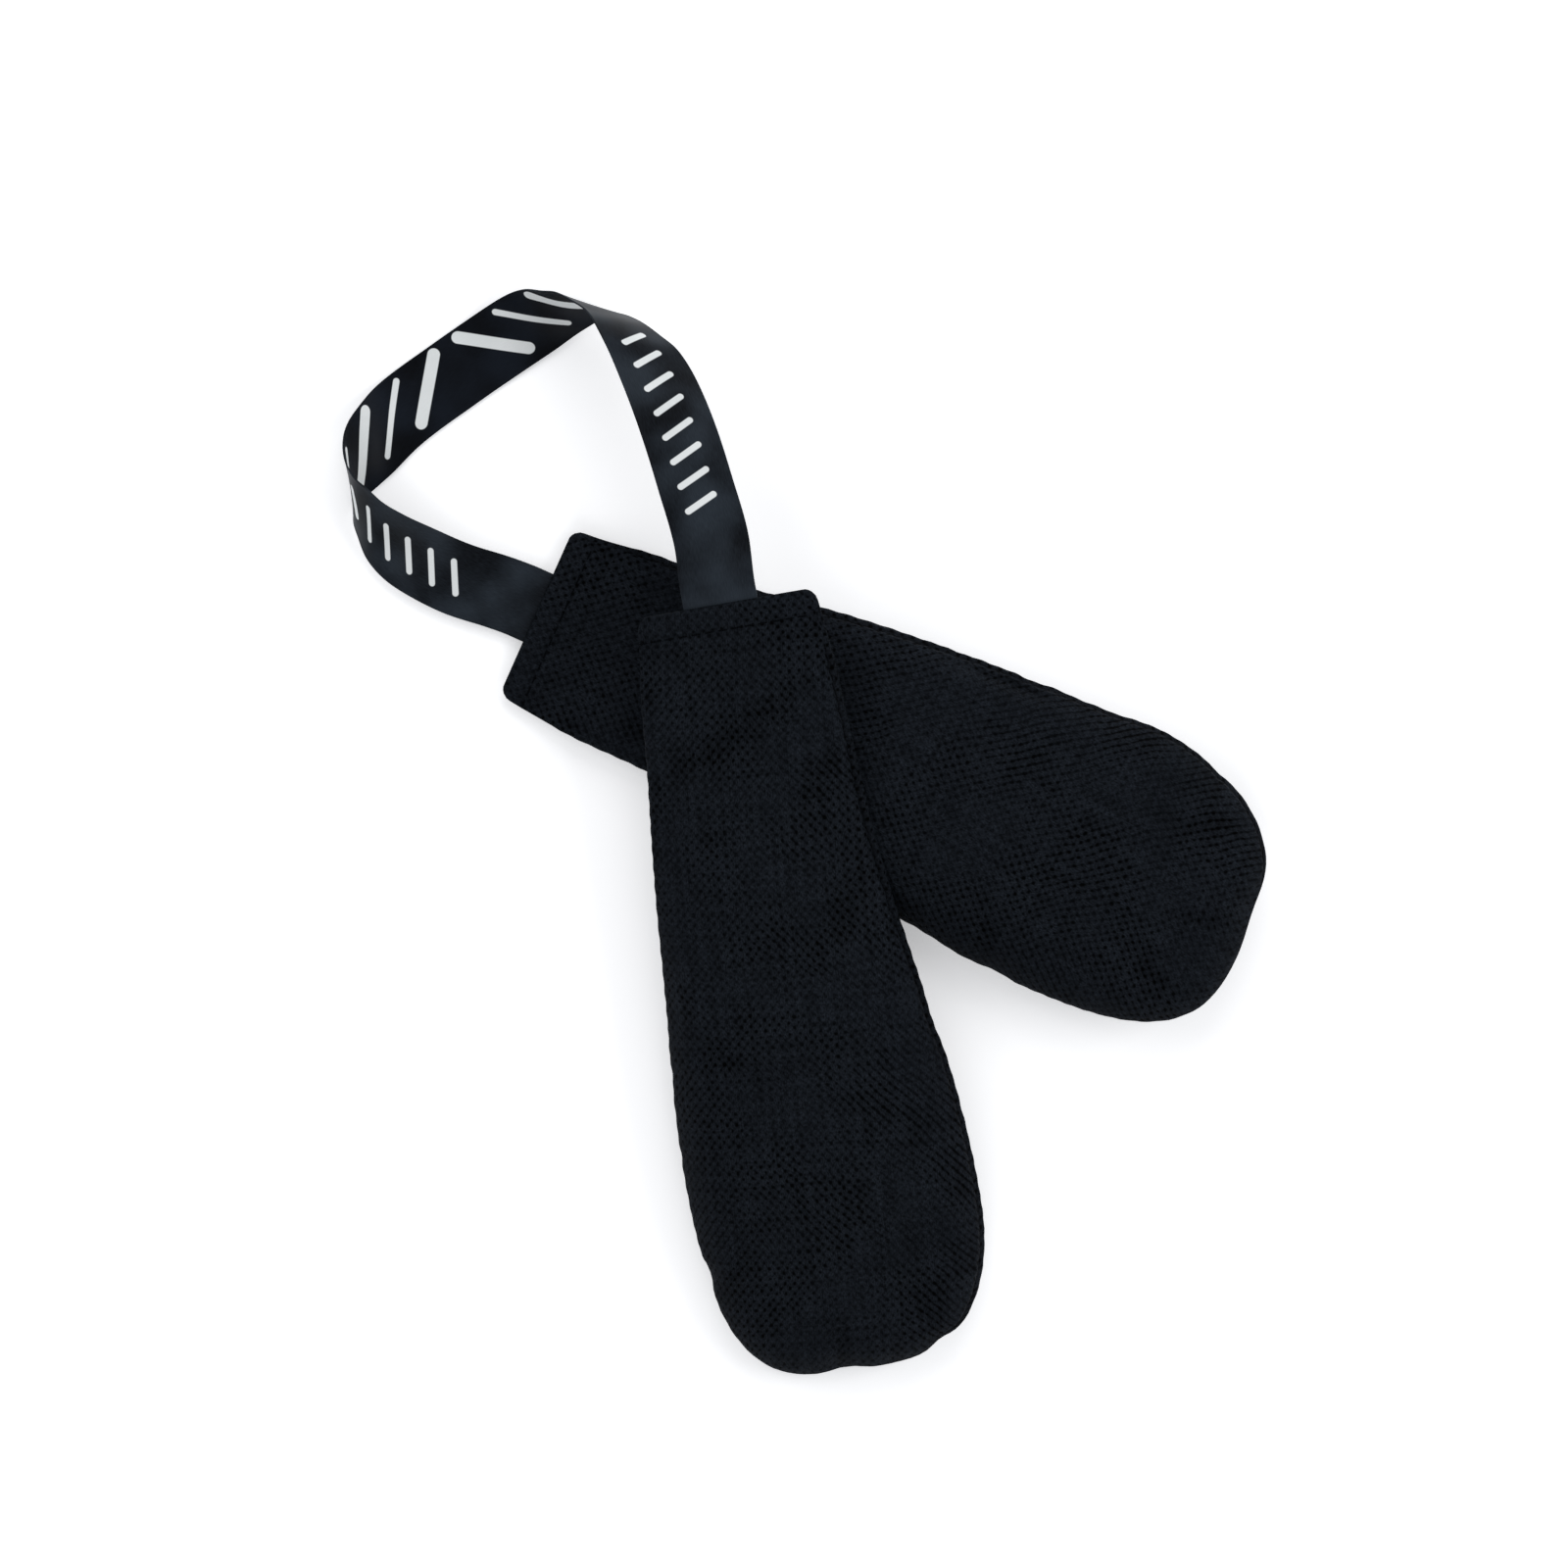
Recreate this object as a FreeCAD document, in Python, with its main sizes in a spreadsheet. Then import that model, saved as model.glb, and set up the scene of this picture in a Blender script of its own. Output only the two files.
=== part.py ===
"""A pair of granule-filled fabric pouches joined by one satin ribbon.

Frame: +X right, +Y back, +Z up, millimetres, origin under the middle of the pair on the table.
The ribbon's far section lies on the table. Its two legs end inside the pouches' sewn mouths.
The rear pouch lies on the table and the front pouch lies across the rear one's neck.
"""
import FreeCAD, Part
import math
import os

os.makedirs("parts", exist_ok=True)
doc = FreeCAD.newDocument("fabric_pouch_pair")
Vector, Rotation, Placement = FreeCAD.Vector, FreeCAD.Rotation, FreeCAD.Placement

# ---------------------------------------------------------------- driving sizes
SIZES = {
    "pouch_length": 210.0,       # mouth edge to rounded end
    "mouth_width": 47.2,         # the squared, sewn-shut end
    "neck_width": 51.6,          # just below the mouth
    "belly_width": 76.8,         # widest place
    "mouth_thickness": 2.8,      # two folded hems over the ribbon
    "belly_thickness": 24.6,     # filled height before the table flattens it
    "wall": 0.9,                 # fabric panel
    "hem_length": 10.0,          # mouth edge to the start of the hollow
    "liner_gap": 0.3,            # between panel and liner
    "liner_wall": 0.35,          # non-woven sachet
    "fill_gap": 0.1,             # between liner and granules
    "stitch_inset": 7.0,         # mouth edge to the closing stitches
    "stitch_pitch": 3.4,
    "stitch_length": 2.6,
    "thread_width": 0.5,
    "thread_gap": 0.03,          # keeps a laid thread off the fabric below it
    "seam_depth": 0.5,           # rim edge to the seam thread
    "ribbon_width": 20.0,
    "ribbon_thickness": 0.5,
    "tail_length": 14.0,         # ribbon held inside a mouth
    "tail_gap": 0.05,            # round the tail in its slot
    "bend_gap": 0.9,             # a mouth's edge to the ribbon's bend line, and on to the leg
    "front_heading": -79.9,      # the way each pouch points, from +X
    "rear_heading": -24.0,
    "front_mouth_x": -20.8,
    "front_mouth_y": 61.6,
    "rear_mouth_x": -72.2,
    "rear_mouth_y": 59.6,
    "rear_mouth_rise": 3.0,      # height of the rear mouth over the table
    "rear_flat": 1.2,            # how far the table presses each belly in
    "front_flat": 1.0,
    "front_roll": 3.0,           # the front pouch leans on the rising neck below it
    "rest_gap": 0.9,             # between the two pouches where they cross
    "tail_offset": 1.4,          # ribbon's middle to a mouth's middle
}

sheet = doc.addObject("Spreadsheet::Sheet", "sizes")
for row, (alias, value) in enumerate(SIZES.items(), start=1):
    sheet.set(f"A{row}", alias)
    sheet.set(f"B{row}", str(value))
    sheet.setAlias(f"B{row}", alias)
doc.recompute()


def size(alias):
    """A driving size, read from the sheet."""
    return float(getattr(sheet, alias))


# ---------------------------------------------------------------- pouch outline
# Shares of the pouch's length where its cross-sections stand, from mouth to end.
BELLY_SHARE = 0.786              # widest place
SWELL_SHARE = 0.715              # thickest place
NECK_SHARE = 0.029
CORNER_SHARES = ((0.0, 0.10), (0.006, 0.03), (0.014, 0.01))   # place, loss of mouth width
SECTION_SHARES = (0.0, 0.006, 0.014, NECK_SHARE, 0.05, 0.09, 0.17, 0.27, 0.37, 0.47, 0.57, 0.66,
                  0.74, 0.80, 0.85, 0.895, 0.93, 0.956, 0.975, 0.988, 0.9965, 0.9995)
SWELL_POWER = 1.3
END_POWER = 3.0                  # squareness of the rounded end, seen from above
END_SWELL_POWER = 2.4            # and seen from the side


def end_fall(share, start, power):
    """1 before start, falling to 0 at the pouch's end along a superellipse."""
    along = max(0.0, (share - start) / (1.0 - start))
    return max(0.0, 1.0 - along ** power) ** (1.0 / power)


def width_mix(share):
    """How much of mouth, neck and belly width a section takes."""
    if share < NECK_SHARE:
        loss = next((cut for place, cut in CORNER_SHARES if abs(place - share) < 1e-6), 0.0)
        return (1.0 - loss, 0.0, 0.0)
    along = min(1.0, (share - NECK_SHARE) / (BELLY_SHARE - NECK_SHARE))
    smooth = along * along * (3.0 - 2.0 * along)
    fall = end_fall(share, BELLY_SHARE, END_POWER)
    return (0.0, (1.0 - smooth) * fall, smooth * fall)


def thickness_mix(share, hem_share):
    """How much of mouth and belly thickness a section takes."""
    along = min(1.0, max(0.0, (share - hem_share) / (SWELL_SHARE - hem_share)))
    swell = 1.0 - (1.0 - along) ** SWELL_POWER
    fall = end_fall(share, SWELL_SHARE, END_SWELL_POWER)
    return ((1.0 - swell) * fall, swell * fall)


def half_width(along):
    """Half width at a distance from the mouth edge, between the sections too."""
    share = min(0.9995, max(NECK_SHARE, along / size("pouch_length")))
    _, neck, belly = width_mix(share)
    return (neck * size("neck_width") + belly * size("belly_width")) / 2.0


def half_thickness(along):
    """Half thickness on the centre line at a distance from the mouth edge."""
    length = size("pouch_length")
    mouth, belly = thickness_mix(min(0.9995, along / length), size("hem_length") / length)
    return (mouth * size("mouth_thickness") + belly * size("belly_thickness")) / 2.0


# ---------------------------------------------------------------- how the pouches lie
def rear_pose():
    """Mouth a little off the table, belly pressed flat against it."""
    reach = SWELL_SHARE * size("pouch_length")
    climb = half_thickness(reach) - size("rear_flat") - size("rear_mouth_rise")
    pitch = -math.degrees(math.atan2(climb, reach))
    place = Vector(size("rear_mouth_x"), size("rear_mouth_y"), size("rear_mouth_rise"))
    return Placement(place, Rotation(size("rear_heading"), pitch, 0.0))


def rear_top(x, y, pose):
    """Height of the rear pouch's upper skin over a place on the table, or None beside it."""
    heading = math.radians(size("rear_heading"))
    dx, dy = x - pose.Base.x, y - pose.Base.y
    along = dx * math.cos(heading) + dy * math.sin(heading)
    across = -dx * math.sin(heading) + dy * math.cos(heading)
    if not 0.0 <= along <= size("pouch_length") or abs(across) >= half_width(along):
        return None
    slope = -math.tan(pose.Rotation.getYawPitchRoll()[1] * math.pi / 180.0)
    lens = math.sqrt(1.0 - (across / half_width(along)) ** 2)
    return pose.Base.z + along * slope + half_thickness(along) * lens


def front_pose(rear):
    """Belly on the table, neck just clear of the rear pouch below it."""
    heading = math.radians(size("front_heading"))
    lean = math.tan(math.radians(size("front_roll")))
    reach = SWELL_SHARE * size("pouch_length")
    belly_height = half_thickness(reach) - size("front_flat")
    slope = 0.0
    for step in range(1, 26):
        along = step * reach / 32.0
        for side in range(-9, 10):
            across = side / 9.5 * half_width(along)
            x = size("front_mouth_x") + along * math.cos(heading) - across * math.sin(heading)
            y = size("front_mouth_y") + along * math.sin(heading) + across * math.cos(heading)
            top = rear_top(x, y, rear)
            if top is None:
                continue
            lens = math.sqrt(1.0 - (across / half_width(along)) ** 2)
            middle = top + size("rest_gap") + half_thickness(along) * lens - across * lean
            slope = max(slope, (middle - belly_height) / (reach - along))
    rise = belly_height + slope * reach
    place = Vector(size("front_mouth_x"), size("front_mouth_y"), rise)
    pitch = math.degrees(math.atan(slope))
    return Placement(place, Rotation(size("front_heading"), pitch, size("front_roll")))


REAR = rear_pose()
FRONT = front_pose(REAR)
print("rear pouch", REAR, "\nfront pouch", FRONT)


# ---------------------------------------------------------------- building blocks
ACROSS = Rotation(Vector(1, 1, 1), 120)       # turns a flat ellipse to face along the pouch
THINNEST = 0.35                               # a section flatter than this is left out


def boolean(kind, name, base, tool):
    """A Part::Cut or Part::Common of two objects."""
    made = doc.addObject(f"Part::{kind}", name)
    made.Base, made.Tool = base, tool
    return made


def block(name, lengths, corner):
    """A Part::Box with its lowest corner at a place."""
    box = doc.addObject("Part::Box", name)
    box.Length, box.Width, box.Height = lengths
    box.Placement = Placement(Vector(*corner), Rotation())
    return box


def skin(name, inset, start):
    """A closed lens-shaped solid, inset from the pouch's outside, that starts at a distance."""
    length = size("pouch_length")
    depth = sum(size(part) for part in inset)
    reach = (length - depth - start) / (length - start)
    drop = " - ".join([""] + [f"sizes.{part}" for part in inset])
    shares = [share for share in SECTION_SHARES if share * length > start + 1.0]
    sections = []
    for number, share in enumerate([start / length] + shares):
        mouth, neck, belly = width_mix(share)
        thin, thick = thickness_mix(share, size("hem_length") / length)
        flat = (thin * size("mouth_thickness") + thick * size("belly_thickness")) / 2.0
        if flat - depth < THINNEST:
            continue
        ellipse = doc.addObject("Part::Ellipse", f"{name}_section_{number}")
        ellipse.Placement = Placement(
            Vector(start + (share * length - start) * reach, 0, 0), ACROSS)
        ellipse.setExpression("MajorRadius", f"({mouth:.6f} * sizes.mouth_width + {neck:.6f} * "
                              f"sizes.neck_width + {belly:.6f} * sizes.belly_width) / 2{drop}")
        ellipse.setExpression("MinorRadius", f"({thin:.6f} * sizes.mouth_thickness + {thick:.6f}"
                              f" * sizes.belly_thickness) / 2{drop}")
        sections.append(ellipse)
    loft = doc.addObject("Part::Loft", name)
    loft.Sections, loft.Solid, loft.Ruled = sections, True, False
    return loft


def pressed(name, solid, pose, height):
    """The solid with all that would lie below a height over the table cut off."""
    table = block(f"{name}_table", (900, 900, 100), (0, 0, 0))
    below = Placement(Vector(-450, -450, height - 100), Rotation())
    table.Placement = pose.inverse().multiply(below)
    return boolean("Cut", f"{name}_pressed", solid, table)


def finish(node, solid, pose):
    """Name a sub-part after its file and put it where the pouch lies."""
    solid.Label = node
    solid.Placement = pose
    NODES.append(solid)


NODES = []


# ---------------------------------------------------------------- pouch
def stitches(node, pose):
    """The closing row below the mouth edge: short threads laid on both faces."""
    half = half_width(size("stitch_inset"))
    radius = size("thread_width") / 2.0
    count = int((half * 2.0 - size("stitch_length") * 2.0) / size("stitch_pitch"))
    threads = []
    for number in range(count):
        middle = (number - (count - 1) / 2.0) * size("stitch_pitch")
        inner = max(0.0, abs(middle) - size("stitch_length") / 2.0)
        lens = math.sqrt(1.0 - (inner / half) ** 2)
        height = size("mouth_thickness") / 2.0 * lens + radius + size("thread_gap")
        for face in (1, -1):
            thread = doc.addObject("Part::Cylinder", f"{node}_{number}_{face + 1}")
            thread.setExpression("Radius", "sizes.thread_width / 2")
            thread.setExpression("Height", "sizes.stitch_length")
            start = Vector(size("stitch_inset"), middle + size("stitch_length") / 2.0, face * height)
            thread.Placement = Placement(start, Rotation(Vector(1, 0, 0), 90))
            threads.append(thread)
    row = doc.addObject("Part::Compound", node)
    row.Links = threads
    finish(node, row, pose)


def pouch(side, pose):
    """Two fabric panels, their seam and closing threads, and the filled sachet inside."""
    length = size("pouch_length")
    hem = size("hem_length")
    outside = pressed(f"{side}_outside", skin(f"{side}_outside", [], 0.0), pose, 0.0)
    hollow = pressed(f"{side}_hollow", skin(f"{side}_hollow", ["wall"], hem), pose, size("wall"))
    shell = boolean("Cut", f"{side}_shell", outside, hollow)

    # The seam thread runs round the rim, in the plane where the two panels meet.
    rim = skin(f"{side}_rim", ["seam_depth"], hem)
    core = skin(f"{side}_core", ["seam_depth", "thread_width"], hem)
    band = boolean("Cut", f"{side}_band", rim, core)
    thick = size("thread_width")
    slab = block(f"{side}_slab", (length, length, thick), (hem + thick, -length / 2, -thick / 2))
    seam = boolean("Common", f"{side}_seam", band, slab)

    slot_size = [size("tail_length") + size("tail_gap"),
                 size("ribbon_width") + 2 * size("tail_gap"),
                 size("ribbon_thickness") + 2 * size("tail_gap")]
    shift = TAIL_SIDE[side] * size("tail_offset")
    slot = block(f"{side}_slot", slot_size, (0, shift - slot_size[1] / 2, -slot_size[2] / 2))
    slotted = boolean("Cut", f"{side}_slotted", shell, slot)
    sewn = boolean("Cut", f"{side}_sewn", slotted, seam)
    big = 2 * length
    for name, base in (("top_panel", 0.0), ("bottom_panel", -big)):
        half = block(f"{side}_{name}_half", (big, big, big), (-length / 2, -length, base))
        panel = boolean("Common", f"{side}_{name}_body", sewn, half)
        finish(f"{side}_pouch_{name}", panel, pose)
    finish(f"{side}_pouch_seam_thread", copy_of(seam, f"{side}_seam_thread"), pose)

    tail = doc.addObject("Part::Box", f"{side}_tail")
    tail.setExpression("Length", "sizes.tail_length")
    tail.setExpression("Width", "sizes.ribbon_width")
    tail.setExpression("Height", "sizes.ribbon_thickness")
    corner = Placement(Vector(0, shift - size("ribbon_width") / 2, -size("ribbon_thickness") / 2),
                       Rotation())
    finish(f"{side}_ribbon_tail", tail, pose.multiply(corner))

    stitches(f"{side}_pouch_mouth_stitches", pose)

    # Inside: a non-woven sachet and the granules that fill it.
    start = max(hem, size("tail_length")) + 2.0
    insets = [["wall", "liner_gap"], ["wall", "liner_gap", "liner_wall"],
              ["wall", "liner_gap", "liner_wall", "fill_gap"]]
    layers = []
    for number, inset in enumerate(insets):
        depth = sum(size(part) for part in inset)
        layer = skin(f"{side}_layer_{number}", inset, start + number * size("liner_wall"))
        layers.append(pressed(f"{side}_layer_{number}", layer, pose, depth))
    liner = boolean("Cut", f"{side}_liner", layers[0], layers[1])
    finish(f"{side}_pouch_liner", liner, pose)
    finish(f"{side}_pouch_granules", layers[2], pose)


def copy_of(source, name):
    """A second object with a source's shape, so that each can have its own place."""
    twin = doc.addObject("Part::Refine", name)
    twin.Source = source
    return twin


# Which side of a mouth's middle the ribbon enters, seen along the pouch from its mouth.
TAIL_SIDE = {"front": -1, "rear": 1}
pouch("rear", REAR)
pouch("front", FRONT)


# ---------------------------------------------------------------- ribbon
# Places along the ribbon's middle: x, y, height, the way its upper edge lies from its lower edge
# seen from above, and how steeply it stands on that lower edge (degrees). It lies flat in the
# middle and stands up at both turns. Heights are millimetres up to the ribbon's flat middle, and
# shares of the front mouth's height from there to the front mouth.
REAR_LEG = (
    (-82.2, 65.1, 3.5, 71.0, 1.5), (-92.9, 69.4, 4.2, 70.5, 6.0), (-102.0, 73.6, 5.5, 70.0, 14.5),
    (-109.6, 77.8, 7.1, 69.5, 27.0), (-115.0, 82.1, 8.7, 71.0, 40.0),
    (-118.4, 86.1, 9.6, 75.0, 50.0),
)
LOOP_REAR = (
    (-121.6, 93.4, 9.3, 98.0, 53.0), (-120.8, 97.3, 8.1, 111.0, 45.0),
    (-118.7, 101.6, 5.9, 118.0, 30.0), (-114.9, 106.6, 3.0, 120.0, 13.0),
    (-109.0, 111.9, 1.2, 124.0, 3.0), (-94.0, 123.0, 0.6, 126.5, 0.0),
)
LOOP_FRONT = (
    (-83.4, 130.4, 0.035, 127.0, 1.5), (-74.6, 136.1, 0.1, 131.0, 10.0),
    (-68.0, 139.9, 0.215, 141.0, 25.0), (-63.3, 141.5, 0.33, 151.5, 37.0),
    (-59.4, 142.3, 0.415, 161.0, 42.0), (-55.5, 141.1, 0.49, 167.5, 43.5),
)
FRONT_LEG = (
    (-49.3, 136.9, 0.66, 174.0, 42.5), (-46.3, 133.4, 0.74, 178.0, 35.5),
    (-43.2, 129.0, 0.80, 183.5, 26.5), (-39.9, 122.7, 0.855, 188.0, 19.0),
    (-36.6, 114.9, 0.90, 192.0, 14.5), (-33.0, 105.1, 0.93, 193.0, 9.0),
    (-29.2, 93.2, 0.96, 192.0, 5.0), (-24.7, 78.6, 0.985, 191.5, 2.5),
)


def station(place, lift):
    """The ribbon's middle and the direction across it, from its lower to its upper edge."""
    x, y, height, bearing, stand = place
    across = Rotation(bearing, -stand, 0.0).multVec(Vector(1, 0, 0))
    return (Vector(x, y, height * lift), across)


def mouth_station(side, pose):
    """Where a leg ends, just short of its pouch's mouth, level with the tail inside it."""
    shift = TAIL_SIDE[side]
    middle = pose.multVec(Vector(-2 * size("bend_gap"), shift * size("tail_offset"), 0))
    return (middle, pose.Rotation.multVec(Vector(0, shift, 0)))


def patch(corners):
    """A four-cornered face that may be twisted."""
    surface = Part.BezierSurface()
    for place, corner in zip(((1, 1), (2, 1), (2, 2), (1, 2)), corners):
        surface.setPole(*place, corner)
    return surface.toShape()


def strip(node, stations):
    """A flat ribbon through its stations, as one solid with straight edges across it."""
    outlines = []
    last = len(stations) - 1
    for number, (middle, across) in enumerate(stations):
        ahead = stations[min(last, number + 1)][0] - stations[max(0, number - 1)][0]
        normal = ahead.cross(across).normalize() * size("ribbon_thickness") / 2.0
        half = across * size("ribbon_width") / 2.0
        outlines.append([middle + half + normal, middle - half + normal,
                         middle - half - normal, middle + half - normal])
    faces = [patch(outlines[0]), patch(outlines[-1])]
    for near, far in zip(outlines, outlines[1:]):
        for corner in range(4):
            after = (corner + 1) % 4
            faces.append(patch([near[corner], near[after], far[after], far[corner]]))
    shell = Part.makeShell(faces)
    shell.sewShape()
    solid = Part.makeSolid(shell)
    if solid.Volume < 0:
        solid.reverse()
    ribbon = doc.addObject("Part::Feature", node)
    ribbon.Shape = solid
    finish(node, ribbon, Placement())


LIFT = FRONT.Base.z
strip("ribbon_rear_leg",
      [mouth_station("rear", REAR)] + [station(place, 1.0) for place in REAR_LEG])
strip("ribbon_loop", [station(place, 1.0) for place in LOOP_REAR]
      + [station(place, LIFT) for place in LOOP_FRONT])
strip("ribbon_front_leg", [station(place, LIFT) for place in FRONT_LEG]
      + [mouth_station("front", FRONT)])

# ---------------------------------------------------------------- check and write
doc.recompute()
for thing in doc.Objects:
    if "Invalid" in thing.State or "Error" in thing.State:
        raise RuntimeError(f"{thing.Name} did not build: {thing.State}")
for part in NODES:
    if part.Shape.isNull() or not part.Shape.isValid() or not part.Shape.Solids:
        raise RuntimeError(f"{part.Label} has no valid solid")
    part.Shape.exportStep(f"parts/{part.Label}.step")
    print(f"{part.Label}: {part.Shape.Volume:.0f} mm3, {len(part.Shape.Solids)} solid(s)")
for side, pose in (("rear", REAR), ("front", FRONT)):
    bend = pose.multVec(Vector(-size("bend_gap"), 0, 0))
    print(side, "mouth bends about", bend, "along", pose.Rotation.multVec(Vector(0, 1, 0)))
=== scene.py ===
# %% [markdown]
# # A pair of granule-filled fabric pouches on one satin ribbon
# Two long pouches of black plain-woven cloth, each with a sachet of drying granules inside, hang on
# one printed satin ribbon. They lie on a table: the front pouch rests across the neck of the rear
# one, and the ribbon makes a loop that stands up on its edge at its two turns.
# The imported CAD model is the frame. Its bodies carry the pouches' pieces and stitches, its soft
# solids are all replaced, and its box is kept.

# %% Load the frame
import math

import bpy
import numpy as np
from mathutils import Euler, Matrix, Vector


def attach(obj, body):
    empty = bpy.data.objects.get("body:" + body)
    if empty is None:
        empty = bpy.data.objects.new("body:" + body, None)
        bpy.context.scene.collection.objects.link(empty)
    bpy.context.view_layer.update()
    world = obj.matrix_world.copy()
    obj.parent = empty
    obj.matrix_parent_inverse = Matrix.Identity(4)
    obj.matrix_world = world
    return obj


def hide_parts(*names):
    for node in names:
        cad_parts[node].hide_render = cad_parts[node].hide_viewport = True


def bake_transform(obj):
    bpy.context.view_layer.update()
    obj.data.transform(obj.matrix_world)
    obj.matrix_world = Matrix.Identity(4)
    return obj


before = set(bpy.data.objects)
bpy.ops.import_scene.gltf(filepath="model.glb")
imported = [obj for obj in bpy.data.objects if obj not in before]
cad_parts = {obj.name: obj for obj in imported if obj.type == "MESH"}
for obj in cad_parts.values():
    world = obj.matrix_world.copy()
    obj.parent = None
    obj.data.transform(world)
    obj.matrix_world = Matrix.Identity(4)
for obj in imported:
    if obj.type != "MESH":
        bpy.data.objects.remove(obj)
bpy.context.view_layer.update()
MM = 0.001

# %% [markdown]
# ## The table, the light and the camera
# The camera looks straight down at the pair on its nearly white table. A long lens keeps the high
# and the low parts at nearly one scale. Black cloth shows its weave only under light that comes in
# low from the sides, and satin mirrors whatever is above it. So the space overhead stays dim, and
# the light comes from large panels on all four sides.

# %% Camera straight above the pair
VIEW_WIDTH = 421.1 * MM         # what the camera takes in at the height of the pouches' seams
VIEW_CENTRE = (-5.3 * MM, 13.4 * MM)
SEAM_HEIGHT = 9 * MM
SENSOR, LENS = 36.0, 150.0      # millimetres
FAR_CLIP = 20                   # metres

camera = bpy.data.objects.new("camera", bpy.data.cameras.new("camera"))
camera.data.lens, camera.data.sensor_width = LENS, SENSOR
camera.location = (*VIEW_CENTRE, SEAM_HEIGHT + VIEW_WIDTH * LENS / SENSOR)
camera.data.clip_end = FAR_CLIP
bpy.context.scene.collection.objects.link(camera)
bpy.context.scene.camera = camera
print("camera height", round(camera.location.z, 3))


# %% Table and light
def panel(name, place, width, power):
    """A large soft lamp that faces the middle of the table."""
    lamp = bpy.data.lights.new(name, "AREA")
    lamp.shape, lamp.size, lamp.energy = "SQUARE", width, power
    holder = bpy.data.objects.new(name, lamp)
    holder.location = place
    holder.rotation_euler = (-Vector(place)).to_track_quat("-Z", "Y").to_euler()
    bpy.context.scene.collection.objects.link(holder)


panel("left_panel", (-1.0, 0.5, 0.75), 0.8, 4)
panel("right_panel", (1.1, 0.1, 0.8), 0.8, 6)
panel("back_panel", (0.1, 1.2, 0.9), 0.9, 6)
panel("front_panel", (0.0, -1.2, 0.9), 0.9, 4.5)

world = bpy.data.worlds.new("studio")
world.use_nodes = True
sky = world.node_tree.nodes["Background"].inputs
sky["Color"].default_value = (0.93, 0.96, 1.0, 1)
sky["Strength"].default_value = 0.36
bpy.context.scene.world = world
bpy.context.scene.view_settings.view_transform = "Standard"

# %% [markdown]
# ## Shader sums written as sums
# A weave, a print and a sheen are all sums on the place along and across the cloth. Each Math node
# would hide one step of them. A small class wraps a socket, so that `a * b` adds a Math node and
# gives its result, and one method adds every other kind of node.


# %% A socket that can be reckoned with
class Wire:
    """One output socket of a finish."""

    def __init__(self, finish, socket):
        self.finish, self.socket = finish, socket

    def maths(self, operation, *terms):
        return self.finish.add("ShaderNodeMath", {"operation": operation}, dict(enumerate(terms)))

    def __add__(self, other):
        return self.maths("ADD", self, other)

    def __sub__(self, other):
        return self.maths("SUBTRACT", self, other)

    def __rsub__(self, other):
        return self.maths("SUBTRACT", other, self)

    def __mul__(self, other):
        return self.maths("MULTIPLY", self, other)

    def __truediv__(self, other):
        return self.maths("DIVIDE", self, other)

    def __pow__(self, other):
        return self.maths("POWER", self, other)

    def __abs__(self):
        return self.maths("ABSOLUTE", self)

    def sine(self):
        return self.maths("SINE", self)

    def repeat(self, span):
        """Runs from 0 to span and starts again."""
        return self.maths("FLOORED_MODULO", self, span)

    def least(self, other):
        return self.maths("MINIMUM", self, other)

    def most(self, other):
        return self.maths("MAXIMUM", self, other)

    def ease(self, low, high):
        """0 below low, 1 above high, smooth between them."""
        return self.finish.add("ShaderNodeMapRange", {"interpolation_type": "SMOOTHSTEP"},
                               {"Value": self, "From Min": low, "From Max": high})


class Finish:
    """A material, and the one method that adds any node to it."""

    def __init__(self, name):
        self.material = bpy.data.materials.new(name)
        self.material.use_nodes = True
        self.tree = self.material.node_tree
        self.tree.nodes.clear()

    def add(self, kind, settings=(), sockets=(), output=0):
        """A node of a kind: its settings first, then the values or wires of its sockets."""
        node = self.tree.nodes.new(kind)
        for name, value in dict(settings).items():
            setattr(node, name, value)
        for name, value in dict(sockets).items():
            if isinstance(value, Wire):
                self.tree.links.new(value.socket, node.inputs[name])
            else:
                node.inputs[name].default_value = value
        return Wire(self, node.outputs[output]) if node.outputs else None

    def place(self, uv_map):
        """Metres across and metres along the cloth, from a piece's own UV map."""
        spot = self.add("ShaderNodeUVMap", {"uv_map": uv_map})
        return [self.add("ShaderNodeSeparateXYZ", {}, {0: spot}, axis) for axis in (0, 1)]

    def spot(self, across, along):
        return self.add("ShaderNodeCombineXYZ", {}, {0: across, 1: along})

    def noise(self, where, scale, detail=2.0):
        return self.add("ShaderNodeTexNoise", {}, {"Vector": where, "Scale": scale,
                                                   "Detail": detail})

    def mix(self, share, first, second):
        """A colour between two colours."""
        return self.add("ShaderNodeMix", {"data_type": "RGBA"}, {0: share, 6: first, 7: second}, 2)

    def bump(self, height, strength, depth):
        return self.add("ShaderNodeBump", {}, {"Height": height, "Strength": strength,
                                               "Distance": depth})

    def done(self, sockets):
        """Puts a Principled shader with these sockets on the material."""
        shader = self.add("ShaderNodeBsdfPrincipled", {}, sockets)
        self.add("ShaderNodeOutputMaterial", {}, {"Surface": shader})
        return self.material


def shade(red, green, blue):
    """A screen colour from 0 to 255 as the shader's own linear colour."""
    return (*((level / 255) ** 2.2 for level in (red, green, blue)), 1.0)
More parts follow.
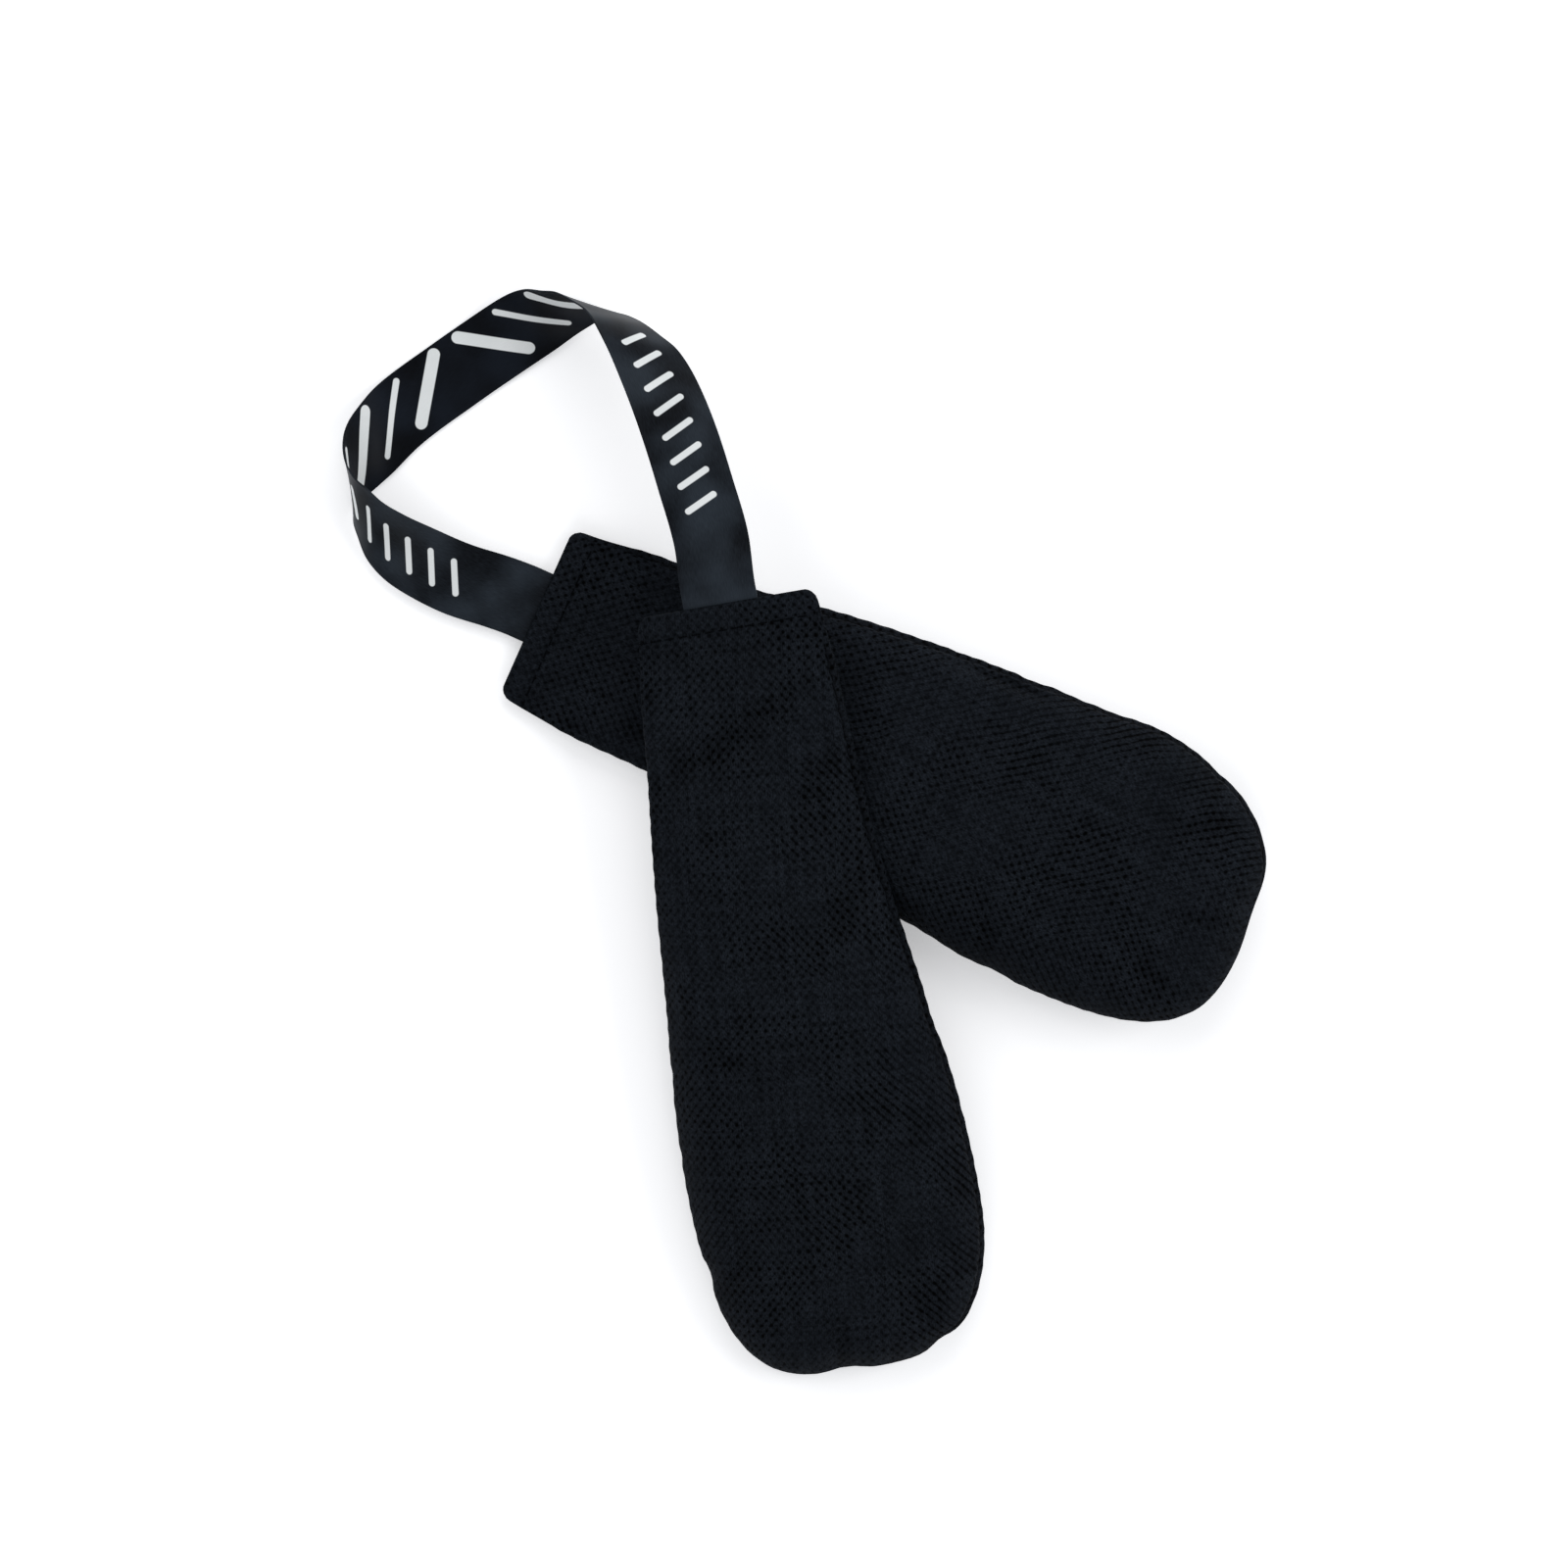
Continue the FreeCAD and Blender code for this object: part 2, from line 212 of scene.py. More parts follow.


# %% [markdown]
# ## Plain-woven cloth
# One thread over, one thread under. At each crossing either the lengthwise or the crosswise thread
# is on top, like the squares of a chessboard. The sine of the place across times the sine of the
# place along has just that change of sign, and each sine alone is a thread's round back. The cloth
# is coarse, with threads about 1.3 mm apart, so the dark pits where a thread dives show as dots.
# The pits' darkness and the lighter tops of the crossings and thread backs are painted shade and
# painted light in the colour. Stuffed cloth is pulled askew, so the pits join up along one diagonal
# or the other. No light gets deep into a fold, and each point of the cloth says how deep in a fold
# it lies, from 0 to 1; the cloth is painted that much darker there, as painted shade.

# %% Woven cloth
LENGTHWISE_PITCH, CROSSWISE_PITCH = 1.28 * MM, 1.46 * MM
THREAD_LIFT = 0.26 * MM
SHEAR = 9.0                     # how fast the weave leans over towards a panel's sides
SHEAR_CHANGE = 1.3              # and how much that differs from patch to patch
SWAY, WOBBLE = 2.4 * MM, 0.5 * MM       # how far threads stray over centimetres, over millimetres
ATTRIBUTE_VALUE = 2             # the output of an attribute node that gives a single value


def weave(across, along, lean):
    """How far a crossing stands out, below 0 where the crosswise thread goes under, and how round
    the threads' backs are. The lean draws the crossings out along one diagonal."""
    a, b = across * (math.pi / LENGTHWISE_PITCH), along * (math.pi / CROSSWISE_PITCH)
    beside, ahead = a.sine(), b.sine()
    slope = (a + math.pi / 2).sine() * (b + math.pi / 2).sine()
    return beside * ahead + slope * lean, abs(beside) * 0.5 + abs(ahead) * 0.5


def woven_cloth():
    finish = Finish("woven_cloth")
    across, along = finish.place("threads")
    spot = finish.spot(across, along)
    sway = (finish.noise(spot, 48) - 0.5) * SWAY
    wobble = (finish.noise(spot, 420, 1.0) - 0.5) * WOBBLE
    lean = across * SHEAR + (finish.noise(spot, 34, 1.0) - 0.5) * SHEAR_CHANGE
    crossing, backs = weave(across + sway + wobble, along + sway - wobble, lean)
    slub = finish.noise(finish.spot(across * 760, along * 60), 1.0, 1.0)
    weft_slub = finish.noise(finish.spot(across * 70, along * 660), 1.0, 1.0)
    patch = finish.noise(spot, 26, 3.0)
    fibre = finish.noise(finish.spot(across * 2900, along * 1300), 1.0, 3.0)
    raised = (crossing + (slub + weft_slub - 1) * 0.9).ease(-1.0, -0.05)
    # Painted shade: how deep the cloth lies in a fold, the seam's groove, the stitch line, the hem's
    # step or a crease.
    fold_shade = finish.add("ShaderNodeAttribute", {"attribute_name": "fold_shade"}, {},
                         ATTRIBUTE_VALUE)
    # Painted shade in the pits: how dark they are painted, more in some patches and in the folds.
    pit_shade = (finish.noise(spot, 42, 2.0).ease(0.36, 0.6) * 0.5 + 0.45 + fold_shade).least(1.0)
    # The colour's brightness: crossings' tops and threads' round backs painted lighter and pits
    # darker, as painted light and shade of the weave's relief, times the threads' own slubs, patches
    # and fibres.
    light = (1 - (1 - raised) * pit_shade) * (slub + 0.5) * (weft_slub * 0.8 + 0.6)
    light = light * (backs * 0.3 + 0.8) * (patch * 0.45 + 0.78) * (fibre * 3.4 - 0.72).most(0.12)
    # Painted shade: the colour is darker the deeper the cloth lies in a fold.
    light = light * (0.5 - fold_shade * 0.3)
    colour = finish.mix(light, shade(2, 3, 4), shade(38, 42, 48))
    bumpy = finish.bump(raised + backs * 0.5 + fibre * 0.25, 0.8, THREAD_LIFT)
    return finish.done({"Base Color": colour, "Roughness": 0.9 - raised * 0.12, "Normal": bumpy,
                        "Specular IOR Level": 0.03})


# %% Thread, sachet and granules
def sewing_thread():
    """Two plies twisted together, a little glossier than the cloth."""
    finish = Finish("sewing_thread")
    spot = finish.add("ShaderNodeTexCoord", {}, {}, 3)
    twist = finish.add("ShaderNodeTexWave", {"bands_direction": "DIAGONAL"},
                       {"Vector": spot, "Scale": 900, "Distortion": 1.5}, 1)
    colour = finish.mix(twist, shade(3, 4, 6), shade(15, 17, 21))
    return finish.done({"Base Color": colour, "Roughness": 0.8, "Specular IOR Level": 0.04,
                        "Normal": finish.bump(twist, 0.5, 0.1 * MM)})


def sachet_felt():
    """Bonded white fibre with a fine pressed dot."""
    finish = Finish("sachet_felt")
    spot = finish.add("ShaderNodeTexCoord", {}, {}, 3)
    dots = finish.add("ShaderNodeTexVoronoi", {}, {"Vector": spot, "Scale": 700}).ease(0.2, 0.5)
    fibre = finish.noise(spot, 2600, 4.0)
    colour = finish.mix(fibre, shade(196, 198, 196), shade(232, 233, 230))
    return finish.done({"Base Color": colour, "Roughness": 0.9,
                        "Normal": finish.bump(dots + fibre * 0.4, 0.5, 0.2 * MM)})


def dry_granules():
    """Dark grains a few millimetres across."""
    finish = Finish("dry_granules")
    spot = finish.add("ShaderNodeTexCoord", {}, {}, 3)
    grain = finish.add("ShaderNodeTexVoronoi", {}, {"Vector": spot, "Scale": 330})
    tone = finish.noise(spot, 240, 2.0)
    colour = finish.mix(tone.ease(0.35, 0.65), shade(38, 34, 30), shade(84, 74, 62))
    return finish.done({"Base Color": colour, "Roughness": 0.75,
                        "Normal": finish.bump(1 - grain, 0.9, 1.2 * MM)})


CLOTH, THREAD, FELT, GRAINS = woven_cloth(), sewing_thread(), sachet_felt(), dry_granules()
print("finishes:", [m.name for m in (CLOTH, THREAD, FELT, GRAINS)])

# %% [markdown]
# ## Satin and its print
# Satin has long floating threads on its face, so it looks nearly smooth and takes a soft gloss,
# which is partly painted into its colour as sheen.
# The print is light grey ink. Every mark is a bar with round ends: the distance from a line
# between two points, less the bar's half width. The face that shows on the legs has rows of
# slanting dashes, and the face that shows on the far section has bolder slanting bars.

# %% Printed marks
RIBBON_WIDTH = 20 * MM
INK_EDGE = 0.12 * MM


def bar(across, along, start, end, half_width):
    """1 inside a bar with round ends between two places given in millimetres, 0 outside it."""
    (x0, y0), (x1, y1) = [(x * MM, y * MM) for x, y in (start, end)]
    dx, dy = x1 - x0, y1 - y0
    beside, ahead = across - x0, along - y0
    reach = ((beside * dx + ahead * dy) / (dx * dx + dy * dy)).most(0.0).least(1.0)
    away = ((beside - reach * dx) ** 2.0 + (ahead - reach * dy) ** 2.0) ** 0.5
    return 1 - away.ease(half_width * MM - INK_EDGE, half_width * MM + INK_EDGE)


def inked(marks):
    """All the marks together: at each place the strongest of them."""
    marks = iter(marks)
    together = next(marks)
    for mark in marks:
        together = together.most(mark)
    return together


# In millimetres: a dash's two ends and half width, and each row's start and number of dashes.
DASH_PITCH, DASH = 6.9, ((6.2, 1.9), (14.0, 5.1), 0.85)
DASH_ROWS = ((25.0, 7), (171.0, 8))


def dash_row(across, along, start, count):
    from_start = along - start * MM
    row = bar(across, from_start.repeat(DASH_PITCH * MM), *DASH)
    from_middle = from_start / (count * DASH_PITCH * MM) - 0.5
    return row * (1 - abs(from_middle).ease(0.499, 0.501))


def dashes(across, along):
    return inked(dash_row(across, along, *row) for row in DASH_ROWS)


# Bars by turns thick and thin, which slant one way up to the middle and the other way after it.
BAR_TURN, BAR_PITCH = 114.0, 12.6       # millimetres
BARS = tuple(((17.5, BAR_TURN + way * (4.0 + number * BAR_PITCH)),
              (4.5, BAR_TURN + way * (17.5 + number * BAR_PITCH)), (1.7, 0.9)[number % 2])
             for way in (-1, 1) for number in range(4))


def slanting_bars(across, along):
    return inked(bar(across, along, *mark) for mark in BARS)


# %% Satin
RIB_PITCH = 0.6 * MM            # of the woven edges


def satin(name, print_on, dull, sheen_colour):
    """Satin with a print, its ground between two colours: dull, and bright where a sheen is painted
    into it.
    """
    finish = Finish(name)
    across, along = finish.place("threads")
    spot = finish.spot(across, along)
    ink = print_on(across, along)
    floats = finish.noise(finish.spot(across * 4200, along * 500), 1.0, 2.0)
    # Painted sheen: soft patches where the satin's colour is painted brighter, standing in for its
    # gloss.
    painted_sheen = finish.noise(spot, 62, 1.5).ease(0.32, 0.7)
    edge = abs(across / RIBBON_WIDTH - 0.5).ease(0.462, 0.478)
    # The ground runs from the dull colour towards the painted sheen colour along the floats' fine
    # streaks and in the painted sheen patches.
    ground = finish.mix(floats * 0.7 + painted_sheen * 0.8 - 0.25, dull, sheen_colour)
    # The grey ink is painted lighter in the same painted sheen patches, and varies along the floats.
    grey = finish.mix(floats * 0.5 + painted_sheen * 0.4, shade(218, 222, 222), shade(240, 242, 242))
    ribs = (along * (2 * math.pi / RIB_PITCH)).sine() * edge
    height = floats * 0.35 + ribs * 0.5 + ink * 0.5
    return finish.done({"Base Color": finish.mix(ink, ground, grey),
                        "Roughness": floats * 0.12 + 0.38 + ink * 0.12,
                        "Specular IOR Level": 0.1,
                        "Normal": finish.bump(height, 0.35, 0.05 * MM)})


# The bars' face has a darker ground and a weaker sheen colour than the dashes' face: partly the
# satin's own duller other face, partly painted shade where the far section lies.
SATIN_DASHES = satin("satin_dashes", dashes, shade(9, 12, 17), shade(46, 52, 59))
SATIN_BARS = satin("satin_bars", slanting_bars, shade(6, 9, 14), shade(25, 30, 38))
print("satin nodes:", len(SATIN_BARS.node_tree.nodes))

# %% [markdown]
# ## Curves and skins
# Every piece here is a stack of rings: a pouch is rings from its mouth to its end, and a ribbon is
# thin flat rings along its length. Two helpers do the work. One draws a smooth curve through
# values given at a few places. The other turns a stack of rings into a closed mesh with a UV map
# in metres, so that a weave keeps its size wherever the cloth goes.


# %% Smooth curve and ring skin
def through(places, values, wanted):
    """Smooth values at the wanted places, from values given at rising places (the first axis)."""
    places, values = np.asarray(places, float), np.asarray(values, float)
    step = np.diff(places)
    rise = np.diff(values, axis=0) / step.reshape(-1, *[1] * (values.ndim - 1))
    slope = np.concatenate([rise[:1], (rise[:-1] + rise[1:]) / 2, rise[-1:]])
    cell = np.clip(np.searchsorted(places, wanted, side="right") - 1, 0, len(places) - 2)
    along = ((wanted - places[cell]) / step[cell]).reshape(-1, *[1] * (values.ndim - 1))
    span = step[cell].reshape(along.shape)
    a2, a3 = along ** 2, along ** 3
    return ((2 * a3 - 3 * a2 + 1) * values[cell] + (a3 - 2 * a2 + along) * span * slope[cell]
            + (3 * a2 - 2 * a3) * values[cell + 1] + (a3 - a2) * span * slope[cell + 1])


def ease(value, low, high):
    """0 below low, 1 above high, smooth between them."""
    share = np.clip((np.asarray(value, float) - low) / (high - low), 0, 1)
    return share * share * (3 - 2 * share)


def skin(name, rings, uv, materials, slots=None, fold_shade=None):
    """A closed mesh from rings (rows, columns, 3), with the uv of each cell's four corners and how
    deep in a fold each point lies, for the cloth's painted shade."""
    rows, columns = rings.shape[:2]
    first = np.arange(rows - 1)[:, None] * columns + np.arange(columns)[None, :]
    ahead = np.roll(first, -1, axis=1)
    cells = np.stack([first, ahead, ahead + columns, first + columns], axis=-1).reshape(-1, 4)
    caps = [list(range(columns))[::-1], [(rows - 1) * columns + c for c in range(columns)]]
    mesh = bpy.data.meshes.new(name)
    mesh.from_pydata(rings.reshape(-1, 3).tolist(), [], cells.tolist() + caps)
    layer = mesh.uv_layers.new(name="threads")
    corners = np.concatenate([uv.reshape(-1, 2), np.zeros((2 * columns, 2))])
    layer.data.foreach_set("uv", corners.astype(np.float32).ravel())
    for material in materials:
        mesh.materials.append(material)
    if slots is not None:
        numbers = np.append(slots.ravel(), [0, 0]).astype(np.int32)
        mesh.polygons.foreach_set("material_index", numbers)
    if fold_shade is not None:
        folds = mesh.attributes.new("fold_shade", "FLOAT", "POINT")
        folds.data.foreach_set("value", fold_shade.ravel().astype(np.float32))
    mesh.shade_smooth()
    first_of_last = (rows - 1) * columns
    for edge in mesh.edges:
        if max(edge.vertices) < columns or min(edge.vertices) >= first_of_last:
            edge.use_edge_sharp = True
    mesh.update()
    piece = bpy.data.objects.new(name, mesh)
    bpy.context.scene.collection.objects.link(piece)
    return piece


# %% [markdown]
# ## Where each pouch lies
# A pouch is shaped in its own space, with its mouth at the origin, its length along X, its left
# along Y and its thickness along Z, in millimetres. The same turn and shift as in the CAD model
# then lay it on the table.


# %% Poses
class Lie:
    """How a pouch lies: where its mouth is, and how it is turned (degrees)."""

    def __init__(self, mouth, heading, nose_down, lean):
        self.mouth = np.array(mouth, float)
        turn = Euler([math.radians(a) for a in (lean, nose_down, heading)], "XYZ")
        self.turn = np.array(turn.to_matrix())

    def put(self, points):
        """Points of the pouch's own space, in millimetres on the table."""
        return np.asarray(points) @ self.turn.T + self.mouth

    def at(self, *point):
        """One point, in metres, for the frame."""
        return tuple(self.put(np.array(point, float)) * MM)


REAR = Lie((-72.2, 59.6, 3.0), -24.0, -3.09, 0.0)
FRONT = Lie((-20.8, 61.6, 28.41), -79.9, 6.5, 3.0)
print("front mouth", FRONT.at(0, 0, 0))

# %% [markdown]
# ## The pouches
# A pouch is two equal panels sewn together face to face, turned right side out and filled through
# the mouth, which is then folded in and sewn shut over the ribbon. Its outline is a squared mouth,
# a slim neck and a wide rounded end. Its thickness grows from the flat hem to the full belly.
# The form is drawn first. Then cloth simulation blows it up a little while its seam is drawn
# tight, which gathers the cloth beside the seam as sewing does, and no point may move far.

# %% Outline and thickness
LENGTH = 210.0
# Places from the mouth, with the half widths to the left and to the right there.
REAR_OUTLINE = ((0, 24.6, 24.2), (8, 25.2, 25.2), (22, 27.0, 26.4), (44, 28.4, 26.8),
                (69, 32.2, 29.0), (90, 34.8, 31.6), (112, 36.6, 34.2), (132, 37.5, 36.4),
                (152, 38.2, 38.2), (166, 39.2, 38.2), (180, 37.6, 37.4), (210, 33.0, 34.0))
FRONT_OUTLINE = ((0, 23.8, 23.8), (8, 24.8, 24.8), (22, 25.8, 26.6), (40, 26.6, 28.3),
                 (60, 27.7, 30.6), (80, 29.4, 32.6), (100, 32.2, 34.3), (120, 35.3, 36.1),
                 (142, 38.0, 37.6), (160, 39.1, 37.8), (178, 38.8, 36.6), (210, 34.0, 33.0))
BELLY_THICK, MOUTH_THICK, HEM = 24.6, 2.8, 10.0
SWELL_PLACE, END_PLACE = 150.0, 166.0   # where the thickness and the outline begin to close
END_SWELL_SQUARE = 2.4
CORNER = 3.2                    # radius of the mouth's corners
# The outline of each pouch, and how square its rounded end is at the left and at the right.
REAR_FORM = (REAR_OUTLINE, (2.75, 3.6))
FRONT_FORM = (FRONT_OUTLINE, (3.4, 3.5))


def fall(along, start, power):
    """1 before start, falling to 0 at the pouch's end along a superellipse."""
    share = np.clip((along - start) / (LENGTH - start), 0, 1)
    return (1 - share ** power) ** (1 / power)


def half_thickness(along):
    swell = 1 - (1 - np.clip((along - HEM) / (SWELL_PLACE - HEM), 0, 1)) ** 1.3
    thick = MOUTH_THICK * (1 - swell) + BELLY_THICK * swell
    return thick / 2 * fall(along, SWELL_PLACE, END_SWELL_SQUARE)


def half_widths(along, form):
    """Half widths to the left and to the right, with the mouth's corners rounded off."""
    outline, squares = form
    table = np.array(outline, float)
    ends = np.stack([fall(along, END_PLACE, square) for square in squares], axis=-1)
    sides = through(table[:, 0], table[:, 1:], along)
    arc = np.sqrt(np.clip(CORNER ** 2 - (CORNER - along) ** 2, 0, None))
    cut = np.where(along < CORNER, CORNER - arc, 0)
    return (sides - cut[:, None]) * ends


# %% Rings of a pouch in its own space
SEAM_ROLL = 2.0                 # how far the seam has rolled on to the upper side, at the left
HALF_TURN = 360                 # steps in which half a section is measured
LEAST_HALF = 0.02               # of a ring, so that none shrinks to a point
CROWDED_FROM = 176              # where the rows begin to crowd towards the end


def section(left, right, thick, square, count):
    """Evenly spaced points round a pouch's section, from its left seam over the top to the right
    seam and back below, and each point's distance from the middle of its panel."""
    angle = np.linspace(0, 2 * np.pi, 2 * HALF_TURN + 1)
    c, s = np.cos(angle), np.sin(angle)
    y = np.where(c > 0, left, right) * np.sign(c) * np.abs(c) ** (2 / square)
    z = thick * np.sign(s) * np.abs(s) ** (2 / square)
    run = np.concatenate([[0], np.cumsum(np.hypot(np.diff(y), np.diff(z)))])
    roll = min(SEAM_ROLL, left * 0.12)
    half = run[HALF_TURN]
    upper = np.linspace(roll, half + roll, count // 2 + 1)[:-1]
    lower = np.linspace(half + roll, run[-1] + roll, count // 2 + 1)[:-1]
    place = np.concatenate([upper, lower])
    turn = place % run[-1]
    panel = np.concatenate([upper - half / 2 - roll, lower - (half + run[-1]) / 2 - roll])
    return np.interp(turn, run, y), np.interp(turn, run, z), panel


def rings_of(places, form, count):
    """Rings at places from the mouth (rows, columns, 3), and how far round each point is."""
    widths, thick = half_widths(places, form), half_thickness(places)
    square = 2.1 + 3.4 * (1 - ease(places, 4, 60))
    rings, around = [], []
    for place, (left, right), half, power in zip(places, widths, thick, square):
        sizes = [max(size, LEAST_HALF) for size in (left, right, half)]
        y, z, panel = section(*sizes, power, count)
        rings.append(np.stack([np.full(count, place), y, z], axis=-1))
        around.append(panel)
    return np.array(rings), np.array(around)


def end_places(count):
    """Places that crowd towards the rounded end, where the outline turns fastest."""
    turn = np.linspace(0, np.pi / 2, count + 1)[1:-1]
    return CROWDED_FROM + (LENGTH - CROWDED_FROM) * np.sin(turn)


# %% [markdown]
# Blender's cloth works on a coarse copy of the rings. The mouth's rows are pinned. The seam is
# shrunk and the panels are let out a little, so the filling pushes the panels into soft swells
# between small gathers. What comes back is only how far each point moved. The sideways pull is
# taken out but for its small waves, so that the drawn outline holds. The moves are faded out where
# the two pouches lie on each other, and are then added to the fine rings.

# %% Cloth simulation on coarse rings
SIM_COLUMNS, SIM_STEP, SIM_FRAMES = 56, 3.2, 20
MOST_MOVE = 3.0                 # millimetres
WAVE_ROWS = 3                   # rows to each side whose mean is taken out of the sideways moves
WAVE_SHARE = 0.5                # how much of the waves is kept
CALM_END = (135, 165)           # where the waves fade out towards the rounded end


def held_to_outline(places, moves):
    """The moves with only their small waves left sideways, so that the drawn outline holds."""
    sideways = moves[..., :2]
    padded = np.pad(sideways, ((WAVE_ROWS, WAVE_ROWS), (0, 0), (0, 0)), "edge")
    window = 2 * WAVE_ROWS + 1
    waves = sideways - sum(padded[row:row + len(sideways)] for row in range(window)) / window
    calm_end = (1 - ease(places, *CALM_END))[:, None, None]
    return np.concatenate([waves * calm_end * WAVE_SHARE, moves[..., 2:]], axis=-1)


def simulated_moves(name, form):
    """How far each point of the coarse rings moves (rows, columns, 3), and the rings' places."""
    body = np.arange(HEM, CROWDED_FROM, SIM_STEP)
    places = np.concatenate([[0.5, 5.0], body, end_places(11)])
    rings, _ = rings_of(places, form, SIM_COLUMNS)
    blank = np.zeros((len(places) - 1, SIM_COLUMNS, 4, 2))
    cloth = skin(f"{name}_cloth", rings * 0.1, blank, [])     # decimetres suit the solver
    seam = cloth.vertex_groups.new(name="seam")
    pinned = cloth.vertex_groups.new(name="pinned")
    half = SIM_COLUMNS // 2
    for row, place in enumerate(places):
        for column in (-1, 0, 1):
            for side in (0, half):
                index = row * SIM_COLUMNS + (column + side) % SIM_COLUMNS
                seam.add([index], 1.0 if column == 0 else 0.35, "REPLACE")
        if place < HEM + 4:
            first = row * SIM_COLUMNS
            pinned.add(list(range(first, first + SIM_COLUMNS)), 1.0, "REPLACE")
    settings = cloth.modifiers.new("cloth", "CLOTH").settings
    settings.quality = 8
    settings.mass = 0.3
    settings.tension_stiffness = settings.compression_stiffness = 25
    settings.shear_stiffness = 8
    settings.bending_stiffness = 0.35
    settings.vertex_group_mass = "pinned"
    settings.vertex_group_shrink = "seam"
    settings.shrink_min, settings.shrink_max = -0.035, 0.03
    settings.use_pressure = True
    settings.uniform_pressure_force = 1.5
    settings.effector_weights.gravity = 0
    scene = bpy.context.scene
    for number in range(1, SIM_FRAMES + 1):
        scene.frame_set(number)
    view = bpy.context.evaluated_depsgraph_get()
    shape = cloth.evaluated_get(view).to_mesh()
    after = np.zeros(len(shape.vertices) * 3, np.float32)
    shape.vertices.foreach_get("co", after)
    moves = held_to_outline(places, after.reshape(rings.shape) * 10 - rings)
    scene.frame_set(1)
    bpy.data.objects.remove(cloth)
    size = np.linalg.norm(moves, axis=-1, keepdims=True)
    print(name, "cloth moved up to", round(float(size.max()), 2), "mm")
    return places, moves * (np.tanh(size / MOST_MOVE) * MOST_MOVE / np.maximum(size, 1e-6))


# %% [markdown]
# The sewing leaves its own marks: a groove along the seam, a sunken line under the closing
# stitches, a hem that ends in a small step, and a few puckers and a crease where the cloth was
# caught or lies over something. Each is a small move towards the inside of the pouch.

# %% Creases, puckers and swells
COLUMNS, STEP = 132, 1.2
SWELLS = (45, 110)              # where the simulated moves fade in
SLOT_DEPTH, SLOT_HALF = 5.0, 0.34       # of the slot between the folded hems
STITCH_LINE = 7.0
GATHER_PITCH = 5.3
TABLE_GAP, SOFTNESS = 0.15, 0.9         # how near the cloth comes to the table, and how softly


def valley(rings, start, end, half_width, depth):
    """Depth of a soft crease between two places of the upper panel, given as (along, left)."""
    start, end = np.array(start, float), np.array(end, float)
    line = end - start
    spot = rings[..., :2] - start
    share = np.clip(spot @ line / (line @ line), 0, 1)
    away = np.linalg.norm(spot - share[..., None] * line, axis=-1)
    ends = np.sin(np.pi * np.clip(share, 0.04, 0.96))
    return depth * np.exp(-(away / half_width) ** 2) * ends * (rings[..., 2] > 0)


def pucker(rings, place, left, width, depth):
    """Draws the edge in round a spot of it, where the seam's gathers are tight."""
    spot = np.array([place, left], float)
    inwards = np.array([SWELL_PLACE, 0]) - spot
    inwards /= np.linalg.norm(inwards)
    away = np.linalg.norm(rings[..., :2] - spot, axis=-1)
    pull = depth * np.exp(-(away / width) ** 2)
    return np.stack([pull * inwards[0], pull * inwards[1], pull * 0], axis=-1)


def unit(vectors, least):
    """The vectors at length 1, but never divided by less than the least length."""
    return vectors / np.maximum(np.linalg.norm(vectors, axis=-1, keepdims=True), least)


def swollen(rings, places, moves):
    """The rings with the coarse rings' moves drawn smoothly through them."""
    coarse_places, coarse = moves
    seats = np.arange(SIM_COLUMNS * 3) / SIM_COLUMNS * COLUMNS - COLUMNS
    tiled = np.concatenate([coarse] * 3, axis=1)
    rounds = through(seats, np.swapaxes(tiled, 0, 1), np.arange(COLUMNS))
    shift = through(coarse_places, np.swapaxes(rounds, 0, 1), np.clip(places, 0.5, None))
    return rings + shift * ease(places, *SWELLS)[:, None, None]


# %% Seam, stitch line and slot
def sewn_seam(rings, places):
    """The rings with a groove and gathers along both seams, and how deep each point lies, for the
    painted shade in the groove.
    """
    inwards = rings.mean(axis=1, keepdims=True) - rings
    inwards[..., 0] = 0
    column = np.arange(COLUMNS)
    ring_step = np.linalg.norm(rings - np.roll(rings, 1, axis=1), axis=-1).mean(axis=1)
    from_seam = np.minimum(column % (COLUMNS // 2), (-column) % (COLUMNS // 2))
    gap = from_seam[None, :] * ring_step[:, None]
    zone = ease(places, 12, 22)[:, None] * np.clip(ring_step / 0.8, 0, 1)[:, None]
    groove = 0.95 * np.exp(-(gap / 0.9) ** 2) - 0.25 * np.exp(-((gap - 2.2) / 1.1) ** 2)
    rhythm = places * (2 * np.pi / GATHER_PITCH) + 1.3 * np.sin(places / 9.0)
    gathers = 0.16 * np.exp(-gap / 4.0) * np.sin(rhythm)[:, None]
    moved = rings + unit(inwards, 1e-6) * ((groove + gathers) * zone)[..., None]
    # The groove's middle gets painted shade.
    return moved, np.exp(-(gap / 0.8) ** 2) * zone


def sunk_lines(rings, flat_down, places, fold_shade, creases):
    """The rings with the stitch line, the hem's step and the creases pressed in."""
    flat = 0.30 * np.exp(-((places - STITCH_LINE) / 0.9) ** 2)
    flat += 0.22 * np.exp(-((places - HEM - 1.6) / 1.2) ** 2)
    rings = rings + flat_down * (flat[:, None] * (np.abs(rings[..., 2]) > 0.6))[..., None]
    # The stitch line and the hem's step get painted shade as deep as they are sunk.
    fold_shade = np.maximum(fold_shade, 1.2 * flat[:, None])
    rings[:2, :, 2] *= np.array([0.45, 0.8])[:, None]
    for crease in creases:
        sunk = valley(rings, **crease)
        rings = rings + flat_down * sunk[..., None]
        # Each crease gets painted shade by its depth.
        fold_shade = np.maximum(fold_shade, sunk * 0.35)
    return rings, fold_shade


